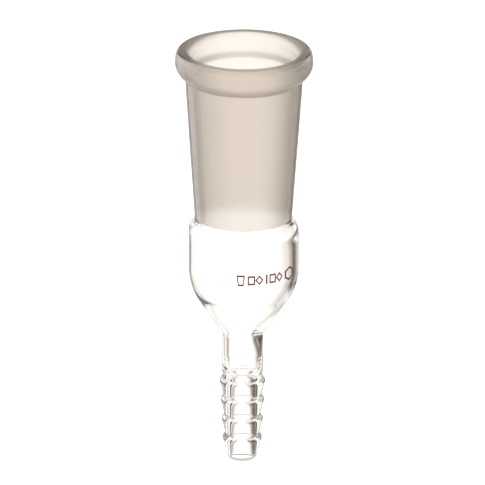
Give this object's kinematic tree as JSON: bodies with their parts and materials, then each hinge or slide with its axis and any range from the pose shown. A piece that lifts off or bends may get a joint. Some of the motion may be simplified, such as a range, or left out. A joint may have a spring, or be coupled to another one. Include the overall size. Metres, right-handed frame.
{
  "type": "glass hose adapter",
  "caption": "Glass reducing adapter: a beaded outer ground-taper socket runs through a round bulb and a short neck to a serrated hose barb.",
  "frame": {"origin": "centre of the large end of the ground taper, where its bore is 24 mm across", "axes": "+Z along the common axis, out of the socket's mouth; the hose barb points to -Z; the middle of the enamel row faces 25 degrees from -Y towards +X"},
  "size_m": [0.0318, 0.0318, 0.099],
  "materials": {
    "clear_glass": "clear drawn borosilicate glass",
    "fire_polished_glass": "fire-polished outside over a ground bore",
    "ground_glass": "clear outside, bore ground to an even frost",
    "fired_enamel": "thin red-brown ceramic enamel, fired on"
  },
  "bodies": {
    "root": {"rim_bead": "fire_polished_glass", "ground_socket": "ground_glass", "reducing_bulb": "clear_glass", "neck_tube": "clear_glass", "hose_barb": "clear_glass", "enamel_taper_outline": "fired_enamel", "enamel_square_1": "fired_enamel", "enamel_diamond_1": "fired_enamel", "enamel_bar": "fired_enamel", "enamel_square_2": "fired_enamel", "enamel_diamond_2": "fired_enamel", "enamel_hexagon": "fired_enamel"}
  },
  "joints": []
}
